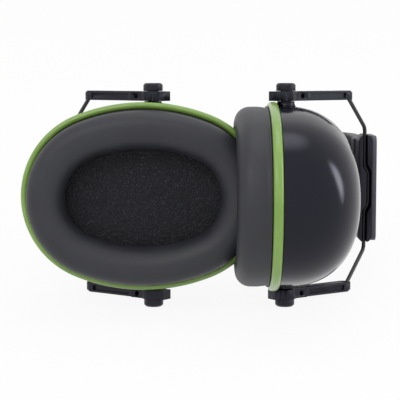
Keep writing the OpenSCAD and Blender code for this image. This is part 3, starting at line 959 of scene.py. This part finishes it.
wire_path = rounded(wire_corners(), 2.0)
wire = smooth(loft("left_wire", round_rings(wire_path, WIRE_R)), 50)
for side, wire in pair(wire):
    settle(wire, side_place[side], f"{side}_yoke", wire_coat, "wire_steel",
           f"{side}_yoke_wire")
print("wire length mm:", round(sum((b - a).length for a, b in zip(wire_path, wire_path[1:]))))

# %% [markdown]
# Two thin ribs stand on the slider beside the cranks and hold the wire in.

# %% Ribs beside the cranks
RIB_HALF, RIB_FOOT, RIB_END, RIB_TOP = 0.22, 33.6, 33.3, 32.55
line = [(WIRE_X + 1.45, CRANK_Z + 5.0), (WIRE_X + 1.45, CRANK_Z + 2.4),
        (WIRE_X + CRANK + 1.35, CRANK_Z - 0.9), (WIRE_X + CRANK + 1.35, CRANK_Z - 3.1)]
rings = []
for i, (x, z) in enumerate(line):
    low = RIB_END if i in (0, 3) else RIB_TOP
    rings.append([Vector((x + dx, y, z)) for dx, y in
                  ((-RIB_HALF, RIB_FOOT), (RIB_HALF, RIB_FOOT), (RIB_HALF, low + 0.15),
                   (0.1, low), (-0.1, low), (-RIB_HALF, low + 0.15))])
AS_MADE, FLIP_Z = Matrix.Identity(4), Matrix.Scale(-1, 4, (0, 0, 1))
rib = smooth(loft("left_upper_rib", rings), 30)
other_rib = twin(rib, "left_lower_rib")
for first, flip in ((rib, AS_MADE), (other_rib, FLIP_Z)):
    for side, piece in pair(first):
        settle(piece, side_place[side] @ flip, f"{side}_yoke", slider_nylon,
               "slider_plastic")
print("rib faces:", len(rib.data.polygons))

# %% [markdown]
# ## Pivot posts
#
# Each cup has two short posts beside the ring that carry the pins.  They are part
# of the dome's moulding, with a soft fillet where they leave it.

# %% Pivot posts
POST_R, POST_TOP, PIN_R, PIN_TOP = 3.9, 41.25, 2.42, 46.8
FILLET = [(36.0, 5.4), (38.4, 5.4), (38.9, 4.6), (39.5, 4.1)]  # (height, radius)
steps = FILLET + [(40.2, POST_R), (POST_TOP - 0.3, POST_R), (POST_TOP, POST_R - 0.3),
                  (POST_TOP, PIN_R), (PIN_TOP, PIN_R)]
turn = [2 * math.pi * k / 40 for k in range(40)]
rings = [[Vector((PIVOT_UP + r * math.cos(w), y, PIVOT_OUT + r * math.sin(w)))
          for w in turn] for y, r in steps]
FLIP_Y = Matrix.Scale(-1, 4, (0, 1, 0))
post = smooth(loft("left_upper_post", rings), 35)
other_post = twin(post, "left_lower_post")
for first, flip in ((post, AS_MADE), (other_post, FLIP_Y)):
    for side, piece in pair(first):
        settle(piece, cup_place[side] @ flip, f"{side}_cup", dome_gloss, "dome_gloss")
print("post faces:", len(post.data.polygons))

# %% [markdown]
# ## Camera
#
# The camera looks along the table at the folded cups from a little above, with a
# long lens, so that the two cups are seen nearly without perspective.

# %% Camera
camera_data = bpy.data.cameras.new("camera")
camera = bpy.data.objects.new("camera", camera_data)
bpy.context.scene.collection.objects.link(camera)
bpy.context.scene.camera = camera
camera_data.sensor_width = 36
camera_data.lens = 126
CAMERA_RISE = math.radians(5.4)
CAMERA_FAR = 616
aim = Vector((-8.5, 0.0, -2.1))
back = Vector((0, -math.cos(CAMERA_RISE), math.sin(CAMERA_RISE)))
camera.location = lie @ (aim + back * CAMERA_FAR)
look = (lie @ aim) - camera.location
camera.rotation_euler = look.to_track_quat("-Z", "Y").to_euler()
camera_data.clip_start, camera_data.clip_end = 0.05, 20
print("camera:", [round(v, 3) for v in camera.location])

# %% [markdown]
# ## Floor and surround
#
# The product stands in a white sweep.  Rays that show the background see plain
# white; for all others the floor is matte paint and the surround is a dim room with
# two soft bright patches, so the light still comes from somewhere.

# %% Floor and surround
FLOOR_WHITE = 0.92  # share of plain white in the floor, where it is background
ROOM = 0.36         # level of the dim room, away from its bright patches


def white_background(tree):
    """1 for rays that show the background: seen directly, in gloss or through glass."""
    ray = add(tree, "ShaderNodeLightPath").outputs
    direct = add(tree, "ShaderNodeMath", {0: ray["Is Camera Ray"], 1: ray["Is Glossy Ray"]},
                 operation="MAXIMUM")
    return add(tree, "ShaderNodeMath", {0: direct.outputs[0], 1: ray["Is Transmission Ray"]},
               operation="MAXIMUM")


bpy.ops.mesh.primitive_plane_add(size=8, location=(0, 0, 0))
floor = named("floor")
floor.location.z = -0.2 * MM
pale = bpy.data.materials.new("pale_floor")
pale.use_nodes = True
floor.data.materials.append(pale)
tree = pale.node_tree
paint = tree.nodes["Principled BSDF"]
paint.inputs["Base Color"].default_value = grey(0.85)
paint.inputs["Roughness"].default_value = 0.9
seen = white_background(tree)
share = add(tree, "ShaderNodeMath", {0: seen.outputs[0], 1: FLOOR_WHITE},
            operation="MULTIPLY")
white = add(tree, "ShaderNodeEmission", {"Color": grey(1.0), "Strength": 1.0})
both = add(tree, "ShaderNodeMixShader", {0: share.outputs[0], 1: paint.outputs[0],
                                         2: white.outputs[0]})
tree.links.new(both.outputs[0], tree.nodes["Material Output"].inputs["Surface"])

world = bpy.data.worlds.new("studio")
bpy.context.scene.world = world
world.use_nodes = True
tree = world.node_tree
sky = tree.nodes["Background"]
sky.inputs["Color"].default_value = grey(1.0)
seen = white_background(tree)
where = add(tree, "ShaderNodeTexCoord").outputs["Generated"]


def glow(direction, narrow, wide, level):
    """A round soft patch of light in the surround, brightest in one direction."""
    near = add(tree, "ShaderNodeVectorMath", {0: where, 1: Vector(direction).normalized()},
               operation="DOT_PRODUCT")
    patch = add(tree, "ShaderNodeMapRange",
                {"Value": near.outputs["Value"], "From Min": math.cos(math.radians(wide)),
                 "From Max": math.cos(math.radians(narrow)), "To Min": 0.0, "To Max": level},
                interpolation_type="SMOOTHSTEP")
    return patch.outputs["Result"]


light = add(tree, "ShaderNodeMath", {0: glow((-0.35, -0.9, 0.7), 8, 40, 1.1),
                                     1: glow((0.1, 0.5, 1.0), 10, 60, 0.8)},
            operation="ADD")
level = add(tree, "ShaderNodeMath", {0: light.outputs[0], 1: ROOM}, operation="ADD")
strength = add(tree, "ShaderNodeMix", {0: seen.outputs[0], 2: level.outputs[0], 3: 1.0},
               data_type="FLOAT")
tree.links.new(strength.outputs[0], sky.inputs["Strength"])
print("floor and surround made")

# %% [markdown]
# ## Lights
#
# A softbox fades towards its edges, so its reflection in the polished dome has no
# hard outline.  The key stands in front to the left, a second one hangs above, and
# a tall narrow one at the right draws the streak on the dome.


# %% Lights
def softbox(name, at, toward, size, watts, height=None):
    """A rectangular light that is brightest in its middle and fades to its edges."""
    data = bpy.data.lights.new(name, "AREA")
    data.shape = "RECTANGLE"
    data.size, data.size_y = size, height or size
    data.energy = watts
    data.use_nodes = True
    tree = data.node_tree
    across = add(tree, "ShaderNodeNewGeometry").outputs["Parametric"]
    off = add(tree, "ShaderNodeVectorMath", {0: across, 1: (0.5, 0.5, 0.0)},
              operation="SUBTRACT")
    far = add(tree, "ShaderNodeVectorMath", {0: off.outputs[0]}, operation="LENGTH")
    fall = add(tree, "ShaderNodeMapRange",
               {"Value": far.outputs["Value"], "From Min": 0.5, "From Max": 0.12,
                "To Min": 0.0, "To Max": 2.2}, interpolation_type="SMOOTHSTEP", clamp=True)
    tree.links.new(fall.outputs["Result"], tree.nodes["Emission"].inputs["Strength"])
    lamp = bpy.data.objects.new(name, data)
    bpy.context.scene.collection.objects.link(lamp)
    lamp.location = at
    lamp.rotation_euler = (Vector(toward) - Vector(at)).to_track_quat("-Z", "Y").to_euler()
    lamp.visible_camera = False
    return lamp


centre = [(a + b) / 2 for a, b in zip(*cad_box)]
softbox("key", (-0.42, -0.95, 1.0), centre, 1.2, 4.6, 0.9)
softbox("top", (0.1, 0.1, 1.1), centre, 0.8, 1.8)
softbox("streak", (0.87, -0.12, 0.36), centre, 0.3, 3.0, 0.9)
bpy.context.scene.view_settings.view_transform = "Standard"
